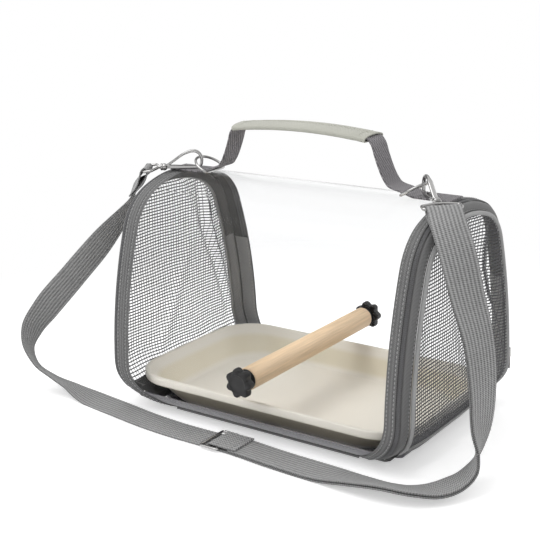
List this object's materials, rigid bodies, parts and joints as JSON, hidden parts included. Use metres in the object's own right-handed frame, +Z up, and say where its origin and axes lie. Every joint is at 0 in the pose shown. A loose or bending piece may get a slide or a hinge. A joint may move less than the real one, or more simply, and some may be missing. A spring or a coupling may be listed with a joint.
{
  "type": "bird travel carrier",
  "caption": "Soft sided travel carrier for a pet bird with clear walls, arched mesh doors, a tray, a wooden perch, a padded carrying handle and a clip-on shoulder strap.",
  "frame": {"origin": "on the table, under the middle of the base", "axes": "+X along the cabin from the left door to the right door, +Y from the front to the back, +Z up"},
  "size_m": [0.4934, 0.2579, 0.276],
  "materials": {
    "tub_fabric": "satin coated fabric",
    "board": "matt",
    "cord_piping": "bound edge",
    "clear_vinyl": "clear, glossy",
    "band_fabric": "plain weave, stitched",
    "zip_tape": "woven tape with coil teeth",
    "gusset_fabric": "plain weave",
    "piping": "bound piping",
    "mesh": "open mesh",
    "tray_plastic": "smooth",
    "dowel_wood": "sanded, bare",
    "washer": "matt",
    "stud_steel": "plain",
    "knob_plastic": "fine grain",
    "grip_fabric": "padded, stitched",
    "handle_webbing": "woven webbing",
    "nickel": "polished nickel",
    "strap_webbing": "ribbed webbing"
  },
  "bodies": {
    "carrier": {"base_tub": "tub_fabric", "left_sill": "tub_fabric", "right_sill": "tub_fabric", "base_board": "board", "front_edge_piping": "cord_piping", "rear_edge_piping": "cord_piping", "clear_sheet": "clear_vinyl", "left_arch_band": "band_fabric", "left_zip_tape": "zip_tape", "left_handle_leg": "handle_webbing", "left_handle_tab": "handle_webbing", "left_strap_eye": "nickel", "right_arch_band": "band_fabric", "right_zip_tape": "zip_tape", "right_handle_leg": "handle_webbing", "right_handle_tab": "handle_webbing", "right_strap_eye": "nickel", "strap_left_fall": "strap_webbing", "strap_front_run": "strap_webbing", "strap_lower_floor": "strap_webbing", "strap_lower_loop": "strap_webbing", "strap_lower_rise": "strap_webbing", "strap_upper_floor": "strap_webbing", "strap_upper_loop": "strap_webbing", "strap_upper_rise": "strap_webbing"},
    "left_door": {"left_door_gusset": "gusset_fabric", "left_door_piping": "piping", "left_door_mesh": "mesh"},
    "right_door": {"right_door_gusset": "gusset_fabric", "right_door_piping": "piping", "right_door_mesh": "mesh"},
    "tray": {"tray": "tray_plastic"},
    "perch": {"perch_dowel": "dowel_wood", "front_perch_washer": "washer", "rear_perch_washer": "washer", "front_perch_stud": "stud_steel", "rear_perch_stud": "stud_steel"},
    "front_knob": {"front_knob": "knob_plastic"},
    "rear_knob": {"rear_knob": "knob_plastic"},
    "handle": {"grip_cover": "grip_fabric", "grip_webbing": "handle_webbing"},
    "left_ring": {"left_d_ring": "nickel"},
    "right_ring": {"right_d_ring": "nickel"},
    "left_hook": {"left_hook_body": "nickel"},
    "right_hook": {"right_hook_body": "nickel"},
    "left_gate": {"left_hook_gate": "nickel"},
    "right_gate": {"right_hook_gate": "nickel"},
    "slider": {"strap_slider": "nickel", "strap_fold": "strap_webbing"},
    "left_zip_slider": {"left_zip_slider": "nickel"},
    "right_zip_slider": {"right_zip_slider": "nickel"},
    "left_zip_pull": {"left_zip_pull": "nickel"},
    "right_zip_pull": {"right_zip_pull": "nickel"}
  },
  "joints": [
    {"name": "left_door_fold", "type": "hinge", "parent": "carrier", "child": "left_door", "pos_m": [-0.14825, 0, 0.012], "axis": [0, -1, 0], "range_deg": [0, 80], "deforming": ["strap_left_fall", "strap_front_run"]},
    {"name": "left_zip_run", "type": "hinge", "parent": "carrier", "child": "left_zip_slider", "pos_m": [-0.157, -0.3345, 0.032], "axis": [1, 0, 0], "range_deg": [0, 16]},
    {"name": "left_pull_swing", "type": "hinge", "parent": "left_zip_slider", "child": "left_zip_pull", "pos_m": [-0.157, 0.10765, 0.05131], "axis": [1, 0, 0], "range_deg": [0, 100]},
    {"name": "left_ring_swing", "type": "hinge", "parent": "carrier", "child": "left_ring", "pos_m": [-0.106, 0, 0.222], "axis": [0, 1, 0], "range_deg": [-1, 1]},
    {"name": "left_hook_swivel", "type": "hinge", "parent": "carrier", "child": "left_hook", "pos_m": [-0.157, -0.022, 0.2239], "axis": [0.8654, 0.5011, 0], "range_deg": [-3, 8]},
    {"name": "left_gate_open", "type": "hinge", "parent": "left_hook", "child": "left_gate", "pos_m": [-0.14964, -0.01774, 0.2255], "axis": [0.5011, -0.8654, 0], "range_deg": [0, 10], "stiffness_Nm_per_rad": 0.02, "springref_deg": -8.59},
    {"name": "right_door_fold", "type": "hinge", "parent": "carrier", "child": "right_door", "pos_m": [0.14825, 0, 0.012], "axis": [0, 1, 0], "range_deg": [0, 80], "deforming": ["strap_lower_loop", "strap_lower_rise", "strap_upper_loop", "strap_upper_rise"]},
    {"name": "right_zip_run", "type": "hinge", "parent": "carrier", "child": "right_zip_slider", "pos_m": [0.157, -0.3345, 0.032], "axis": [1, 0, 0], "range_deg": [0, 16]},
    {"name": "right_pull_swing", "type": "hinge", "parent": "right_zip_slider", "child": "right_zip_pull", "pos_m": [0.157, 0.10765, 0.05131], "axis": [1, 0, 0], "range_deg": [0, 100]},
    {"name": "right_ring_swing", "type": "hinge", "parent": "carrier", "child": "right_ring", "pos_m": [0.106, 0, 0.222], "axis": [0, 1, 0], "range_deg": [-1, 1]},
    {"name": "right_hook_swivel", "type": "hinge", "parent": "carrier", "child": "right_hook", "pos_m": [0.1505, -0.029, 0.2239], "axis": [-0.7064, 0.7078, 0], "range_deg": [-8, 3]},
    {"name": "right_gate_open", "type": "hinge", "parent": "right_hook", "child": "right_gate", "pos_m": [0.1445, -0.02298, 0.2255], "axis": [0.7078, 0.7064, 0], "range_deg": [0, 10], "stiffness_Nm_per_rad": 0.02, "springref_deg": -8.59},
    {"name": "handle_drop", "type": "slide", "parent": "carrier", "child": "handle", "axis": [0, 0, 1], "range_m": [-0.034, 0], "deforming": ["left_handle_leg", "right_handle_leg"]},
    {"name": "perch_turn", "type": "hinge", "parent": "carrier", "child": "perch", "pos_m": [0, 0, 0.06], "axis": [0, 1, 0], "continuous": true},
    {"name": "front_knob_turn", "type": "hinge", "parent": "perch", "child": "front_knob", "pos_m": [0, 0, 0.06], "axis": [0, 1, 0], "continuous": true},
    {"name": "rear_knob_turn", "type": "hinge", "parent": "perch", "child": "rear_knob", "pos_m": [0, 0, 0.06], "axis": [0, 1, 0], "continuous": true},
    {"name": "tray_lift", "type": "slide", "parent": "carrier", "child": "tray", "axis": [0, 0, 1], "range_m": [0, 0.012]},
    {"name": "strap_adjust", "type": "slide", "parent": "carrier", "child": "slider", "axis": [1, 0, 0], "range_m": [-0.008, 0.008]}
  ]
}
